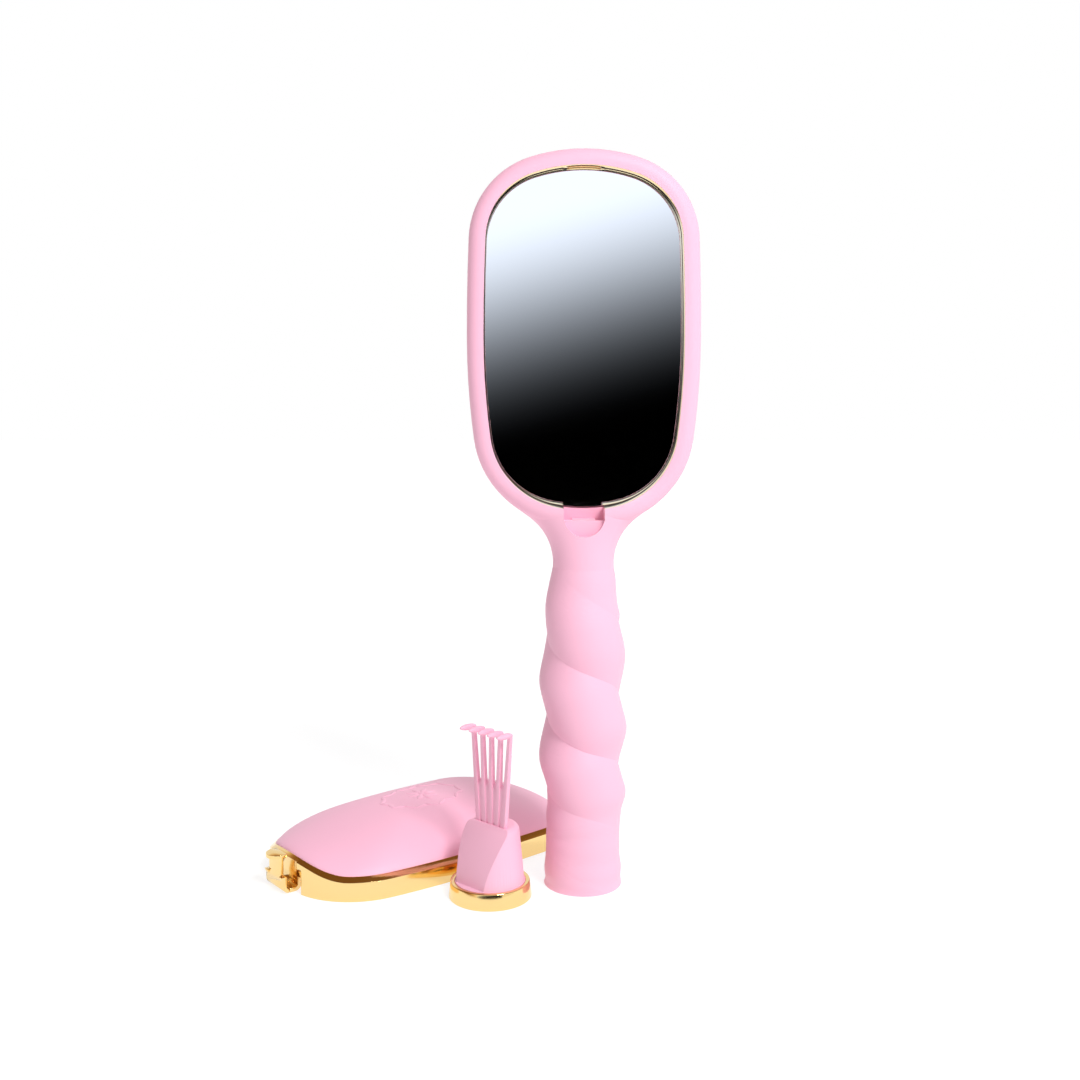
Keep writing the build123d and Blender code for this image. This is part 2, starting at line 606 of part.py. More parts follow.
def rake():
    """Five prongs joined by a web, on a flat root."""
    low = (PRONGS - 1) / 2 * PRONG_PITCH_LOW
    share = (WEB_TOP - PLUG_TOP) / (PRONG_TOP - PLUG_TOP)
    high = low + (PRONGS - 1) / 2 * (PRONG_PITCH_HIGH - PRONG_PITCH_LOW) * share
    web = make_face(Polyline((-low, PLUG_TOP), (low, PLUG_TOP), (high, WEB_TOP), (-high, WEB_TOP), close=True))
    web = extrude(Plane.XZ * web, amount=WEB_THICKNESS / 2, both=True)
    slope = Plane.YZ * make_face(Polyline(
        (-WEB_THICKNESS / 2, WEB_TOP - WEB_SLOPE), (WEB_THICKNESS / 2, WEB_TOP),
        (-WEB_THICKNESS / 2, WEB_TOP), close=True))
    web -= extrude(slope, amount=FAR_BEYOND, both=True)
    solid = Pos(0, PRONG_ROW_Y, 0) * web + tang()
    for index in range(PRONGS):
        solid += prong(index)
    return solid


# ---- Write every piece ----

def main():
    os.makedirs("parts", exist_ok=True)
    lid = Pos(*LID_PLACE) * Rot(0, 0, LID_ANGLE)
    tool = Pos(*TOOL_PLACE) * Rot(0, 0, TOOL_ANGLE)
    pieces = {
        "brush_body": brush_body(),
        "mirror_bezel": mirror_bezel(),
        "mirror_glass": mirror_glass(),
        "mirror_pad": mirror_pad(),
        "cushion": cushion(),
        "cushion_ring": cushion_ring(),
        "lid_frame": lid * lid_frame(),
        "lid_dome": lid * lid_dome(),
        "latch_tongue": lid * latch_tongue(),
        "end_cap": tool * end_cap(),
        "tool_block": tool * tool_block(),
        "rake": tool * rake(),
    }
    for row in range(PIN_ROWS):
        pieces[f"pin_row_{row + 1:02d}"] = Compound(pin_row(row))
    for name, piece in pieces.items():
        export_step(piece, f"parts/{name}.step")


main()
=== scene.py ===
# %% [markdown]
# A hairbrush with a mirror, the mirror's lid and a cleaning tool
# The brush stands on its hollow handle. Its lid lies on the table and the tool that cleans the
# bristles stands on the gold cap that closes the handle. The construction is loaded first and
# stays fixed: every piece made here is dressed around it.

# %% Load the fixed frame
import math

import bpy
import mathutils
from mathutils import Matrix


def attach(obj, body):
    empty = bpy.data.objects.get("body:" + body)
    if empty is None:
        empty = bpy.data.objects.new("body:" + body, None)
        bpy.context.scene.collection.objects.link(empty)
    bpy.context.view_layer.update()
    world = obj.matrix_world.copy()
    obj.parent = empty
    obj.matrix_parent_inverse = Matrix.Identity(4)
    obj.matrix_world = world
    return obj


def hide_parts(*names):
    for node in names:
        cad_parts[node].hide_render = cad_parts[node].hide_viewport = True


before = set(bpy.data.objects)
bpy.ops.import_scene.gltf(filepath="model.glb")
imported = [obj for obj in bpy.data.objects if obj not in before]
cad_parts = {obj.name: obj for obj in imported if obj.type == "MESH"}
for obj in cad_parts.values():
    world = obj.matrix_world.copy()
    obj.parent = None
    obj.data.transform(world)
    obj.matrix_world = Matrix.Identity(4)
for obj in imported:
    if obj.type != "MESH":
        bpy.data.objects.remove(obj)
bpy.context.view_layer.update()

MM = 0.001

# %% [markdown]
# A few small helpers carry every material. Colours are picked as on a screen, in sRGB hex, and
# a shader wants linear light, so one function converts them. The others add a node and wire it,
# start a material, and give it to nodes of the construction.

# %% Colour and node helpers
def linear(hex_colour):
    """Linear RGBA of an sRGB hex colour such as "F9C4DB"."""
    channels = [int(hex_colour[start:start + 2], 16) / 255 for start in (0, 2, 4)]
    bent = [c / 12.92 if c <= 0.04045 else ((c + 0.055) / 1.055) ** 2.4 for c in channels]
    return (*bent, 1.0)


def add_node(owner, kind, settings=None, inputs=None):
    """A node of that kind, with its settings and its inputs: values, or sockets to link from."""
    tree = owner.node_tree
    node = tree.nodes.new(kind)
    for name, value in (settings or {}).items():
        setattr(node, name, value)
    for name, value in (inputs or {}).items():
        if isinstance(value, bpy.types.NodeSocket):
            tree.links.new(value, node.inputs[name])
        else:
            node.inputs[name].default_value = value
    return node


def new_material(name):
    """An empty material and its principled shader."""
    material = bpy.data.materials.new(name)
    material.use_nodes = True
    return material, material.node_tree.nodes["Principled BSDF"]


def dress(material, *nodes):
    """Gives construction nodes a material."""
    for name in nodes:
        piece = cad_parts[name]
        piece.data.materials.clear()
        piece.data.materials.append(material)


# %% [markdown]
# The body is moulded ABS with a soft-touch lacquer, a thin rubbery coat. It scatters light like
# chalk, with a faint wide sheen where it turns away, and a grain too fine to feel. A noise of
# fractions of a millimetre gives the grain as bump, and a slow one varies the roughness a little,
# as a sprayed coat does.

# %% Soft-touch pink
SOFT_TOUCH_PINK = "FBBDD5"
LACQUER_GRAIN = 0.35 * MM
LACQUER_DRIFT = 18 * MM


def soft_touch(name, colour):
    """A matt coat in that colour, with a fine grain and a slow drift of roughness."""
    material, shader = new_material(name)
    place = add_node(material, "ShaderNodeTexCoord").outputs["Object"]
    grain = add_node(material, "ShaderNodeTexNoise", inputs={
        "Vector": place, "Scale": 1 / LACQUER_GRAIN, "Detail": 2.0})
    drift = add_node(material, "ShaderNodeTexNoise", inputs={
        "Vector": place, "Scale": 1 / LACQUER_DRIFT, "Detail": 1.0})
    rough = add_node(material, "ShaderNodeMapRange", inputs={
        "Value": drift.outputs["Fac"], "To Min": 0.48, "To Max": 0.58})
    bump = add_node(material, "ShaderNodeBump", inputs={
        "Height": grain.outputs["Fac"], "Strength": 0.05, "Distance": 0.02 * MM})
    tree = material.node_tree
    tree.links.new(rough.outputs["Result"], shader.inputs["Roughness"])
    tree.links.new(bump.outputs["Normal"], shader.inputs["Normal"])
    shader.inputs["Base Color"].default_value = linear(colour)
    shader.inputs["IOR"].default_value = 1.45
    shader.inputs["Sheen Weight"].default_value = 0.12
    shader.inputs["Sheen Roughness"].default_value = 0.5
    return material


pink = soft_touch("soft_touch_lacquered_abs", SOFT_TOUCH_PINK)
dress(pink, "brush_body")

# %% [markdown]
# The gold parts are ABS electroplated in a warm gold. Plating is nearly a mirror, and what shows
# is the moulding below it: a faint waviness. The metal keeps the default index of refraction.

# %% Gold plate
PLATED_GOLD = "F7D694"
PLATING_WAVE = 11 * MM


def gold_plate():
    """Polished gold with the faint waves of the moulding below it."""
    material, shader = new_material("gold_electroplate")
    place = add_node(material, "ShaderNodeTexCoord").outputs["Object"]
    wave = add_node(material, "ShaderNodeTexNoise", inputs={
        "Vector": place, "Scale": 1 / PLATING_WAVE, "Detail": 1.0})
    bump = add_node(material, "ShaderNodeBump", inputs={
        "Height": wave.outputs["Fac"], "Strength": 0.2, "Distance": 0.2 * MM})
    rough = add_node(material, "ShaderNodeMapRange", inputs={
        "Value": wave.outputs["Fac"], "To Min": 0.09, "To Max": 0.16})
    material.node_tree.links.new(rough.outputs["Result"], shader.inputs["Roughness"])
    material.node_tree.links.new(bump.outputs["Normal"], shader.inputs["Normal"])
    shader.inputs["Base Color"].default_value = linear(PLATED_GOLD)
    shader.inputs["Metallic"].default_value = 1.0
    return material


gold = gold_plate()

# %% [markdown]
# A mirror is glass silvered on its back. To the eye it is a sharp metal with a trace of cold
# green in the glass, so one smooth metal shader stands for both. The pad that holds it is
# closed-cell foam: pale, dull and full of tiny cells.

# %% Silvered glass and foam
MIRROR_SILVER = "F2F5F6"
PALE_FOAM = "E8E6E2"


def silvered_glass():
    """One smooth metal that stands for the glass and the silver behind it."""
    material, shader = new_material("silvered_glass")
    shader.inputs["Base Color"].default_value = linear(MIRROR_SILVER)
    shader.inputs["Metallic"].default_value = 1.0
    shader.inputs["Roughness"].default_value = 0.015
    return material


dress(silvered_glass(), "mirror_glass")
dress(soft_touch("closed_cell_foam", PALE_FOAM), "mirror_pad")

# %% [markdown]
# The bristle side has a matt rubber cushion and pins of moulded nylon. Rubber has a fine even
# grain from its mould and no gloss. Nylon is waxy: a soft highlight and a little light that
# goes in and comes out again.

# %% Rubber and nylon
RUBBER_PINK = "EFA9C6"
RUBBER_GRAIN = 0.5 * MM
NYLON_PINK = "F2A9C9"
NYLON_DEPTH = 0.6 * MM


def rubber():
    """Dull rubber with the grain of its mould."""
    material, shader = new_material("moulded_rubber")
    place = add_node(material, "ShaderNodeTexCoord").outputs["Object"]
    grain = add_node(material, "ShaderNodeTexNoise", inputs={
        "Vector": place, "Scale": 1 / RUBBER_GRAIN, "Detail": 3.0})
    bump = add_node(material, "ShaderNodeBump", inputs={
        "Height": grain.outputs["Fac"], "Strength": 0.3, "Distance": 0.03 * MM})
    material.node_tree.links.new(bump.outputs["Normal"], shader.inputs["Normal"])
    shader.inputs["Base Color"].default_value = linear(RUBBER_PINK)
    shader.inputs["Roughness"].default_value = 0.65
    shader.inputs["IOR"].default_value = 1.52
    return material


def nylon():
    """Waxy nylon that lets a little light in."""
    material, shader = new_material("moulded_nylon")
    shader.inputs["Base Color"].default_value = linear(NYLON_PINK)
    shader.inputs["Roughness"].default_value = 0.32
    shader.inputs["IOR"].default_value = 1.53
    shader.inputs["Subsurface Weight"].default_value = 0.15
    shader.inputs["Subsurface Scale"].default_value = NYLON_DEPTH
    return material


cushion_rubber = rubber()
pin_rows = sorted(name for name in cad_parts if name.startswith("pin_row"))
dress(nylon(), *pin_rows)

# %% [markdown]
# A moulded or plated edge is never sharp: it has a small round that catches a line of light.
# The construction's edges are sharp, so each hard piece is copied, its loose triangles are
# joined into whole faces, and a narrow bevel rounds every edge. The copy then stands for the
# construction's node.

# %% Rounded edges
WELD = 0.002 * MM
FLAT_WITHIN = math.radians(0.4)
SHARP_FROM = math.radians(35)
SMOOTH_BELOW = math.radians(32)
PLATED_EDGE = 0.15 * MM
TOOL_EDGE = 0.5 * MM
RAKE_EDGE = 0.2 * MM
RING_EDGE = 0.3 * MM


def only(piece):
    """Selects one piece and nothing else."""
    bpy.ops.object.select_all(action="DESELECT")
    piece.select_set(True)
    bpy.context.view_layer.objects.active = piece


def apply_modifier(piece, kind, **settings):
    """Adds a modifier and applies it at once."""
    only(piece)
    modifier = piece.modifiers.new("finish", kind)
    for name, value in settings.items():
        setattr(modifier, name, value)
    bpy.ops.object.modifier_apply(modifier=modifier.name)


def finish_piece(piece, material, body, slot, *nodes):
    """Gives a piece its finish, the body it moves with and the nodes it stands for."""
    piece.data.materials.clear()
    piece.data.materials.append(material)
    only(piece)
    bpy.ops.object.shade_smooth_by_angle(angle=SMOOTH_BELOW)
    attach(piece, body)
    if nodes:
        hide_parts(*nodes)
    print(piece.name, len(piece.data.polygons), "faces")


def round_edges(node, name, material, body, slot, width):
    """A copy of a node with its edges rounded by width."""
    piece = bpy.data.objects.new(name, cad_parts[node].data.copy())
    bpy.context.collection.objects.link(piece)
    only(piece)
    bpy.ops.object.mode_set(mode="EDIT")
    bpy.ops.mesh.select_all(action="SELECT")
    bpy.ops.mesh.remove_doubles(threshold=WELD)
    bpy.ops.mesh.dissolve_limited(angle_limit=FLAT_WITHIN)
    bpy.ops.object.mode_set(mode="OBJECT")
    apply_modifier(piece, "BEVEL", width=width, segments=2, limit_method="ANGLE",
                   angle_limit=SHARP_FROM, use_clamp_overlap=True)
    finish_piece(piece, material, body, slot, node)


round_edges("lid_frame", "lid_frame_plated", gold, "lid", "gold", PLATED_EDGE)
round_edges("latch_tongue", "latch_plated", gold, "latch", "gold", PLATED_EDGE)
round_edges("mirror_bezel", "mirror_bezel_plated", gold, "brush", "gold", PLATED_EDGE)
round_edges("tool_block", "tool_block_rounded", pink, "tool", "pink", TOOL_EDGE)
round_edges("rake", "rake_rounded", pink, "tool", "pink", RAKE_EDGE)
round_edges("cushion_ring", "cushion_ring_rounded", pink, "brush", "pink", RING_EDGE)

# %% [markdown]
# The cap is a plated cup that closes the handle, turned in shape: a floor, a low wall and an
# outside that widens to the foot. A bevel on the construction's copy would leave nicks on its
# facets, so half of its section is drawn and spun about its axis, and then its edges are rounded.

# %% The end cap
TOOL_PLACE = (-30.08, -10.8)
CAP_SECTION = ((0, 0), (13.41, 0), (12.73, 5.2), (11.33, 5.2), (11.33, 1.5), (0, 1.5))
CAP_STEPS = 128
CAP_EDGE = 0.3 * MM

bpy.ops.object.select_all(action="DESELECT")
bpy.ops.mesh.primitive_circle_add(vertices=len(CAP_SECTION), radius=MM)
cap = bpy.context.object
cap.name = "end_cap_plated"
for vertex, (radius, height) in zip(cap.data.vertices, CAP_SECTION):
    vertex.co = (radius * MM, 0, height * MM)
bpy.ops.object.mode_set(mode="EDIT")
bpy.ops.mesh.select_all(action="SELECT")
bpy.ops.mesh.spin(steps=CAP_STEPS, angle=2 * math.pi, center=(0, 0, 0), axis=(0, 0, 1))
bpy.ops.mesh.select_all(action="SELECT")
bpy.ops.mesh.remove_doubles(threshold=WELD)
bpy.ops.mesh.delete_loose(use_verts=True, use_edges=True, use_faces=False)
bpy.ops.mesh.select_all(action="SELECT")
bpy.ops.mesh.normals_make_consistent(inside=False)
bpy.ops.object.mode_set(mode="OBJECT")
apply_modifier(cap, "BEVEL", width=CAP_EDGE, segments=3, limit_method="ANGLE",
               angle_limit=SHARP_FROM, use_clamp_overlap=True)
cap.data.transform(mathutils.Matrix.Translation((TOOL_PLACE[0] * MM, TOOL_PLACE[1] * MM, 0)))
finish_piece(cap, gold, "tool", "gold", "end_cap")

# %% [markdown]
# The mirror's pocket, its lid and the cushion share one outline, an oval of arcs: a side, a
# corner and an end arc in each quarter. It could be drawn as a curve, but both domes need the
# same number of points in every ring, so the arcs are divided evenly here.

# %% The oval outline
HALF_WIDTH = 32.0
HALF_LENGTH = 54.4
FAR_ARCS = (720.0, 22.3, 52.0)
NECK_ARCS = (238.0, 25.4, 49.0)
OUTLINE_STEP = 1.6


def arc(centre, radius, start, stop):
    """Points of an arc at even steps, without its last one."""
    count = max(1, round(radius * (stop - start) / OUTLINE_STEP))
    angles = [start + (stop - start) * step / count for step in range(count)]
    return [(centre[0] + radius * math.cos(a), centre[1] + radius * math.sin(a)) for a in angles]


def outline(inset):
    """The outline moved inwards by inset, as pairs: across, and along towards the far end."""
    points = []
    for side, (side_radius, corner_radius, end_radius) in ((1, FAR_ARCS), (-1, NECK_ARCS)):
        side_centre = mathutils.Vector((HALF_WIDTH - side_radius, 0))
        end_centre = mathutils.Vector((0, HALF_LENGTH - end_radius))
        span = end_centre - side_centre
        to_side, to_end = side_radius - corner_radius, end_radius - corner_radius
        along = (span.length ** 2 + to_side ** 2 - to_end ** 2) / (2 * span.length)
        across = math.sqrt(to_side ** 2 - along ** 2)
        unit = span.normalized()
        corner = side_centre + unit * along + mathutils.Vector((-unit.y, unit.x)) * across
        low = math.atan2(*reversed(corner - side_centre))
        high = math.atan2(*reversed(corner - end_centre))
        half = arc(side_centre, side_radius - inset, 0, low)
        half += arc(corner, corner_radius - inset, low, high)
        half += arc(end_centre, end_radius - inset, high, math.pi - high)
        half += arc((-corner.x, corner.y), corner_radius - inset, math.pi - high, math.pi - low)
        half += arc((-side_centre.x, 0), side_radius - inset, math.pi - low, math.pi)
        points += [(side * x, side * y) for x, y in half]
    return points


print("points in the outline", len(outline(0)))

# %% [markdown]
# A dome over the outline starts as a circle with a point for each place on the oval. Its edge is
# extruded and scaled towards the middle, ring by ring, closer together near the edge, where the
# dome turns down, and the last ring is drawn to a point. Each ring then rises to the dome's
# height there. Last, the sheet gets its wall thickness inwards.

# %% A domed shell
RINGS = 26


def domed_shell(name, inset, height, wall, place):
    """A shell over the outline: height(share, along) is its outside, place sets it in the scene."""
    edge = outline(inset)
    bpy.ops.object.select_all(action="DESELECT")
    bpy.ops.mesh.primitive_circle_add(vertices=len(edge), radius=HALF_LENGTH * MM)
    piece = bpy.context.object
    piece.name = name
    for vertex, (across, along) in zip(piece.data.vertices, edge):
        vertex.co = (along * MM, -across * MM, 0)
    shares = [math.cos(math.pi / 2 * step / RINGS) for step in range(RINGS)]
    bpy.ops.object.mode_set(mode="EDIT")
    bpy.ops.mesh.select_all(action="SELECT")
    for before, after in zip(shares, shares[1:]):
        bpy.ops.mesh.extrude_edges_move()
        bpy.ops.transform.resize(value=(after / before,) * 3, center_override=(0, 0, 0))
    bpy.ops.mesh.extrude_edges_move()
    bpy.ops.mesh.merge(type="CENTER")
    bpy.ops.object.mode_set(mode="OBJECT")
    for index, vertex in enumerate(piece.data.vertices):
        ring = index // len(edge)
        share = shares[ring] if ring < RINGS else 0.0
        along = vertex.co.x / MM / share if share else 0.0
        vertex.co.z = height(share, along) * MM
    bpy.ops.object.mode_set(mode="EDIT")
    bpy.ops.mesh.select_all(action="SELECT")
    bpy.ops.mesh.normals_make_consistent(inside=False)
    bpy.ops.object.mode_set(mode="OBJECT")
    middle = max(piece.data.polygons, key=lambda face: face.center.z)
    if middle.normal.z < 0:
        piece.data.flip_normals()
    apply_modifier(piece, "SOLIDIFY", thickness=wall * MM, offset=-1, use_even_offset=True)
    piece.data.transform(place)
    return piece


# %% [markdown]
# The lid's dome swells quickly from its edge and is nearly level in the middle. Its edge follows
# the gold band: level for most of the way, and rising in an arc and a straight slope over the
# latch.

# %% The lid's dome
LID_PLACE = (-55.91, 29.94)
LID_ANGLE = 39.6
LID_TOP = 7.5
DOME_HEIGHT = 12.0
DOME_INSET = 2.3
DOME_FULLNESS = 0.7
DOME_WALL = 1.6
FLARE_AT = -43.2
FLARE_RADIUS = 12.65
FLARE_END = -51.8
EDGE_FADE = 6


def band_rise(along):
    """How far the band's upper edge rises above its level part."""
    def arc_height(at):
        """The rise at a place inside the arc."""
        return FLARE_RADIUS - math.sqrt(FLARE_RADIUS ** 2 - (FLARE_AT - at) ** 2)

    if along >= FLARE_AT:
        return 0.0
    if along >= FLARE_END:
        return arc_height(along)
    slope = (FLARE_AT - FLARE_END) / (FLARE_RADIUS - arc_height(FLARE_END))
    return arc_height(FLARE_END) + slope * (FLARE_END - along)


def dome_height(share, along):
    """The outside of the lid's dome, share of the way out from its middle."""
    swell = DOME_HEIGHT * (1 - share ** 2) ** DOME_FULLNESS
    return LID_TOP + swell + band_rise(along) * share ** EDGE_FADE


lid_place = mathutils.Matrix.Translation((LID_PLACE[0] * MM, LID_PLACE[1] * MM, 0)) @ \
    mathutils.Matrix.Rotation(math.radians(LID_ANGLE), 4, "Z")
lid_dome = domed_shell("lid_dome_shell", DOME_INSET, dome_height, DOME_WALL, lid_place)
finish_piece(lid_dome, pink, "lid", "pink", "lid_dome")

# %% [markdown]
# The dome carries a raised ornament: a rosette of petals in an oval wreath of leaves. Each petal
# is a flattened ball, half sunk in the dome where a ray from above meets it and tilted to lie on
# it. One is modelled and the others are copies, and all are joined.

# %% The raised ornament
LEAF_LENGTH = 4.6
LEAF_WIDTH = 1.5
LEAF_HEIGHT = 0.28
WREATH_LEAVES = 22
WREATH_HALF_LENGTH = 15.0
WREATH_HALF_WIDTH = 9.5
LEAF_TURN = 28.0
ROSETTE_PETALS = 8
ROSETTE_RADIUS = 3.3
PETAL_WIDTH = 1.3 * LEAF_WIDTH
BUD_SIZE = 1.6 * LEAF_WIDTH


def raised_leaf(at, angle, length, width):
    """A flattened ball on the lid's dome, at a place in the lid's own frame."""
    above = lid_place @ mathutils.Vector((at[0] * MM, at[1] * MM, 2 * (LID_TOP + DOME_HEIGHT) * MM))
    _, place, normal, _ = lid_dome.ray_cast(above, (0, 0, -1))
    bpy.ops.object.select_all(action="DESELECT")
    bpy.ops.mesh.primitive_uv_sphere_add(segments=20, ring_count=10, radius=0.5 * MM)
    leaf = bpy.context.object
    lie = normal.to_track_quat("Z", "Y").to_matrix().to_4x4()
    heading = mathutils.Vector((math.cos(angle), math.sin(angle), 0))
    heading.rotate(mathutils.Matrix.Rotation(math.radians(LID_ANGLE), 3, "Z"))
    local = lie.to_3x3().inverted() @ heading
    turn = mathutils.Matrix.Rotation(math.atan2(local.y, local.x), 4, "Z")
    size = mathutils.Matrix.Diagonal((length, width, 2 * LEAF_HEIGHT, 1))
    leaf.data.transform(mathutils.Matrix.Translation(place) @ lie @ turn @ size)
    return leaf


leaves = []
for step in range(WREATH_LEAVES):
    around = 2 * math.pi * step / WREATH_LEAVES
    at = (WREATH_HALF_LENGTH * math.cos(around), WREATH_HALF_WIDTH * math.sin(around))
    tangent = math.atan2(WREATH_HALF_WIDTH * math.cos(around),
                         -WREATH_HALF_LENGTH * math.sin(around))
    lean = math.radians(LEAF_TURN if step % 2 else -LEAF_TURN)
    leaves.append(raised_leaf(at, tangent + lean, LEAF_LENGTH, LEAF_WIDTH))
for step in range(ROSETTE_PETALS):
    around = 2 * math.pi * step / ROSETTE_PETALS
    at = (ROSETTE_RADIUS * math.cos(around), ROSETTE_RADIUS * math.sin(around))
    leaves.append(raised_leaf(at, around, LEAF_LENGTH, PETAL_WIDTH))
leaves.append(raised_leaf((0, 0), 0.0, BUD_SIZE, BUD_SIZE))
bpy.ops.object.select_all(action="DESELECT")
for leaf in leaves:
    leaf.select_set(True)
bpy.context.view_layer.objects.active = leaves[0]
bpy.ops.object.join()
leaves[0].name = "lid_ornament"
finish_piece(leaves[0], pink, "lid", "pink")

# %% [markdown]
# The cushion is a thin rubber dome that gives under the pins. Its skin is the same kind of
# domed shell, lower and rounder, and round each pin the rubber swells into a small collar, which
# is a ring that lies across the pin.

# %% The cushion and its collars
HEAD_CENTRE_Z = 178.5
CUSHION_INSET = 4.9
CUSHION_EDGE_Y = 12.3
CUSHION_RISE = 4.6
CUSHION_WALL = 1.2
CUSHION_SPAN = (27.3, 49.7)
PIN_FIELD = (22.7, 45.1)
PIN_FIELD_POWER = 2.6
PIN_PITCH = 6.9
PIN_FAN = 9.0
COLLAR_RADIUS = 1.15
COLLAR_THICKNESS = 0.45


def cushion_height(share, along):
    """The outside of the cushion, the same all along the head."""
    return CUSHION_EDGE_Y + CUSHION_RISE * (1 - share ** 2)


head_place = mathutils.Matrix(((0, 1, 0, 0), (0, 0, 1, 0), (1, 0, 0, HEAD_CENTRE_Z * MM),
                               (0, 0, 0, 1)))
cushion = domed_shell("cushion_skin", CUSHION_INSET, cushion_height, CUSHION_WALL, head_place)
finish_piece(cushion, cushion_rubber, "brush", "cushion", "cushion")

collars = []
for row in range(len(pin_rows)):
    from_middle = row - len(pin_rows) // 2
    up = from_middle * PIN_PITCH
    share = 1 - (abs(up) / PIN_FIELD[1]) ** PIN_FIELD_POWER
    reach = PIN_FIELD[0] * share ** (1 / PIN_FIELD_POWER)
    shift = PIN_PITCH / 2 * (from_middle % 2)
    count = int((reach - shift) // PIN_PITCH)
    columns = [side * (shift + PIN_PITCH * step) for step in range(count + 1) for side in (-1, 1)]
    for across in sorted(set(columns)):
        rise = 1 - (across / CUSHION_SPAN[0]) ** 2 - (up / CUSHION_SPAN[1]) ** 2
        depth = CUSHION_EDGE_Y + CUSHION_RISE * rise
        bpy.ops.object.select_all(action="DESELECT")
        bpy.ops.mesh.primitive_torus_add(
            major_segments=16, minor_segments=8, major_radius=COLLAR_RADIUS * MM,
            minor_radius=COLLAR_THICKNESS * MM,
            location=(across * MM, depth * MM, (HEAD_CENTRE_Z + up) * MM),
            rotation=(math.radians(-90 + PIN_FAN * up / HALF_LENGTH), 0,
                      math.radians(-PIN_FAN * across / HALF_WIDTH)))
        collars.append(bpy.context.object)
bpy.ops.object.select_all(action="DESELECT")
for collar in collars:
    collar.select_set(True)
bpy.context.view_layer.objects.active = collars[0]
bpy.ops.object.join()
bpy.ops.object.transform_apply(location=True, rotation=True, scale=True)
collars[0].name = "pin_collars"
finish_piece(collars[0], cushion_rubber, "brush", "cushion")
print("pins with a collar", len(collars))

# %% [markdown]
# The camera stands a little left of the brush and looks slightly down.

# %% Camera
CAMERA_PLACE = (-0.01405, -0.40265, 0.16520)
CAMERA_TILT = 4.0
CAMERA_LENS = 41.667
CAMERA_SHIFT = -0.0672
SENSOR_WIDTH = 36
NEAREST_SEEN = 0.01

camera_data = bpy.data.cameras.new("camera")
camera = bpy.data.objects.new("camera", camera_data)
bpy.context.collection.objects.link(camera)
camera.location = CAMERA_PLACE
camera.rotation_euler = (math.radians(90 - CAMERA_TILT), 0, 0)
camera_data.lens = CAMERA_LENS
camera_data.sensor_width = SENSOR_WIDTH
camera_data.shift_y = CAMERA_SHIFT
camera_data.clip_start = NEAREST_SEEN
bpy.context.scene.camera = camera

# %% [markdown]
# The table is a white sheet that glows, as a light table does. Most of its white is its own glow,
# so that shadows on it stay faint. It glows a little more further out, where less of the room's
# light reaches it, so that the sheet runs into the white behind it with no horizon.

# %% Table
scene = bpy.context.scene
scene.view_settings.view_transform = "Standard"
TABLE_SIZE = 6
TABLE_GREY = (0.35, 0.35, 0.35, 1)
GLOW_NEAR = 0.75
GLOW_FAR = 0.88
NEAR = 0.15
FAR = 0.8
WHITE = (1, 1, 1, 1)

bpy.ops.object.select_all(action="DESELECT")
bpy.ops.mesh.primitive_plane_add(size=TABLE_SIZE, location=(0, 0, 0))
table = bpy.context.object
table.name = "table"
table_white, shader = new_material("table_white")
place = add_node(table_white, "ShaderNodeTexCoord").outputs["Object"]
reach = add_node(table_white, "ShaderNodeVectorMath", {"operation": "LENGTH"}, {0: place})
glow = add_node(table_white, "ShaderNodeMapRange", {"interpolation_type": "SMOOTHSTEP"}, {
    "Value": reach.outputs["Value"], "From Min": NEAR, "From Max": FAR,
    "To Min": GLOW_NEAR, "To Max": GLOW_FAR})
table_white.node_tree.links.new(glow.outputs["Result"], shader.inputs["Emission Strength"])
shader.inputs["Base Color"].default_value = TABLE_GREY
shader.inputs["Roughness"].default_value = 0.9
shader.inputs["Specular IOR Level"].default_value = 0.0
shader.inputs["Emission Color"].default_value = WHITE
table.data.materials.append(table_white)

# %% [markdown]
# What a mirror shows is the room. Here a wide card stands in front of the brush, bright at its
# top and black at its foot, with a soft boundary at a slant, and only reflections see it.

# %% The card that the mirror shows
CARD_Y = -1.2
CARD_WIDTH = 1.6
CARD_HEIGHT = 0.9
CARD_SLANT = 0.29
CARD_BLACK_TO = 0.063
CARD_WHITE_FROM = 0.3945
CARD_TINT = (0.84, 0.89, 1.0, 1)
CARD_STRENGTH = 1.28
SCREEN_GAMMA = 2.2

bpy.ops.object.select_all(action="DESELECT")
bpy.ops.mesh.primitive_plane_add(size=1)
card = bpy.context.object
card.name = "gradient_card"
upright = mathutils.Matrix(((CARD_WIDTH, 0, 0, 0), (0, 0, 1, CARD_Y),
                            (0, CARD_HEIGHT, 0, CARD_HEIGHT / 2), (0, 0, 0, 1)))
card.data.transform(upright)
card_light = bpy.data.materials.new("card_light")
card_light.use_nodes = True
card_light.node_tree.nodes.clear()
place = add_node(card_light, "ShaderNodeTexCoord").outputs["Object"]
parts = add_node(card_light, "ShaderNodeSeparateXYZ", inputs={"Vector": place})
slant = add_node(card_light, "ShaderNodeMath", {"operation": "MULTIPLY_ADD"}, {
    0: parts.outputs["X"], 1: -CARD_SLANT, 2: parts.outputs["Z"]})
rise = add_node(card_light, "ShaderNodeMapRange", {"interpolation_type": "SMOOTHSTEP"}, {
    "Value": slant.outputs["Value"], "From Min": CARD_BLACK_TO, "From Max": CARD_WHITE_FROM})
bent = add_node(card_light, "ShaderNodeMath", {"operation": "POWER"}, {
    0: rise.outputs["Result"], 1: SCREEN_GAMMA})
power = add_node(card_light, "ShaderNodeMath", {"operation": "MULTIPLY"}, {
    0: bent.outputs["Value"], 1: CARD_STRENGTH})
glow = add_node(card_light, "ShaderNodeEmission", inputs={"Strength": power.outputs["Value"]})
glow.inputs["Color"].default_value = CARD_TINT
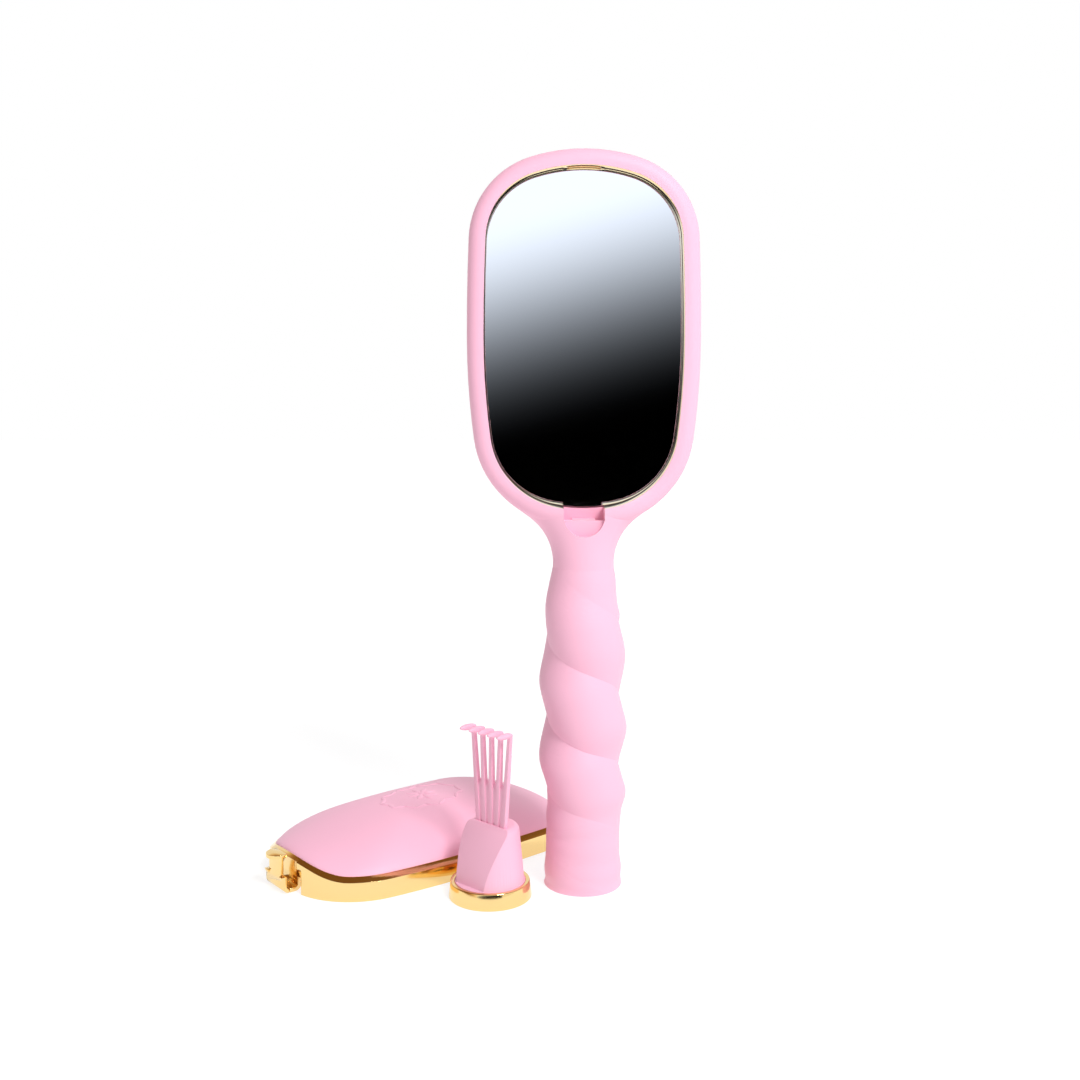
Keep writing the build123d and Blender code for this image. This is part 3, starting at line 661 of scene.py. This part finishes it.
add_node(card_light, "ShaderNodeOutputMaterial", inputs={"Surface": glow.outputs["Emission"]})
card.data.materials.append(card_light)
card.visible_camera = False
card.visible_diffuse = False
card.visible_shadow = False

# %% [markdown]
# The room is white to the eye. Its light is strongest from above, weaker in front and weakest on
# the left. Gold looks like gold only where it has something dark to show next to something
# bright, so reflections see a room with brown flags: straight above and on the left.

# %% The room
ROOM_LIGHT = 0.68
ROOM_GLOSS = 0.92
LIGHT_ACROSS = (-0.95, 0.35, 0.2, 0.8)
LIGHT_ALONG = (-0.95, 0.1, 0.8, 1.0)
LIGHT_UP = (0.0, 0.9, 0.7, 2.0)
FLAG_LEFT = (-0.95, -0.5, 0.2, 1.0)
FLAG_ABOVE = (0.5, 0.8, 1.0, 0.0)
FLAG_COLOURS = ((0.0, "7A5326"), (0.35, "A87A48"), (0.75, "F0D2A8"), (1.0, "FFFFFF"))

world = bpy.data.worlds.new("studio")
scene.world = world
world.use_nodes = True
direction = add_node(world, "ShaderNodeTexCoord").outputs["Generated"]
axes = add_node(world, "ShaderNodeSeparateXYZ", inputs={"Vector": direction})


def fade(axis, start, stop, low, high):
    """A smooth change of the room's light along one axis of the direction."""
    return add_node(world, "ShaderNodeMapRange", {"interpolation_type": "SMOOTHSTEP"}, {
        "Value": axes.outputs[axis], "From Min": start, "From Max": stop,
        "To Min": low, "To Max": high}).outputs["Result"]


def product(first, second):
    """One socket times a socket or a number."""
    return add_node(world, "ShaderNodeMath", {"operation": "MULTIPLY"}, {
        0: first, 1: second}).outputs["Value"]


def mixed(share, first, second):
    """One light or another, by a share that is a socket."""
    return add_node(world, "ShaderNodeMixShader", inputs={
        "Fac": share, 1: first, 2: second}).outputs["Shader"]


light = product(fade("X", *LIGHT_ACROSS), fade("Y", *LIGHT_ALONG))
light = product(product(light, fade("Z", *LIGHT_UP)), ROOM_LIGHT)
flags = product(fade("X", *FLAG_LEFT), fade("Z", *FLAG_ABOVE))
flag_ramp = add_node(world, "ShaderNodeValToRGB", inputs={"Fac": flags})
stops = flag_ramp.color_ramp.elements
for element, (position, colour) in zip(stops, (FLAG_COLOURS[0], FLAG_COLOURS[-1])):
    element.position = position
    element.color = linear(colour)
for position, colour in FLAG_COLOURS[1:-1]:
    stops.new(position).color = linear(colour)
rays = add_node(world, "ShaderNodeLightPath")
room = add_node(world, "ShaderNodeBackground", inputs={"Color": WHITE, "Strength": light})
glossy = add_node(world, "ShaderNodeBackground", inputs={
    "Color": flag_ramp.outputs["Color"], "Strength": ROOM_GLOSS})
seen = add_node(world, "ShaderNodeBackground", inputs={"Color": WHITE})
surface = mixed(rays.outputs["Is Glossy Ray"], room.outputs["Background"],
                glossy.outputs["Background"])
surface = mixed(rays.outputs["Is Camera Ray"], surface, seen.outputs["Background"])
world.node_tree.links.new(surface, world.node_tree.nodes["World Output"].inputs["Surface"])

# %% [markdown]
# One soft lamp stands on the right, in front and above, and gives the round forms their light
# side.

# %% Key light
KEY_PLACE = (0.6, -0.87, 1.1)
KEY_TARGET = (0, 0, 0.1)
KEY_SIZE = 0.4
KEY_POWER = 13

key_data = bpy.data.lights.new("key", "AREA")
key_data.size = KEY_SIZE
key_data.energy = KEY_POWER
key = bpy.data.objects.new("key", key_data)
bpy.context.collection.objects.link(key)
key.location = KEY_PLACE
towards = mathutils.Vector(KEY_TARGET) - mathutils.Vector(KEY_PLACE)
key.rotation_euler = towards.to_track_quat("-Z", "Y").to_euler()
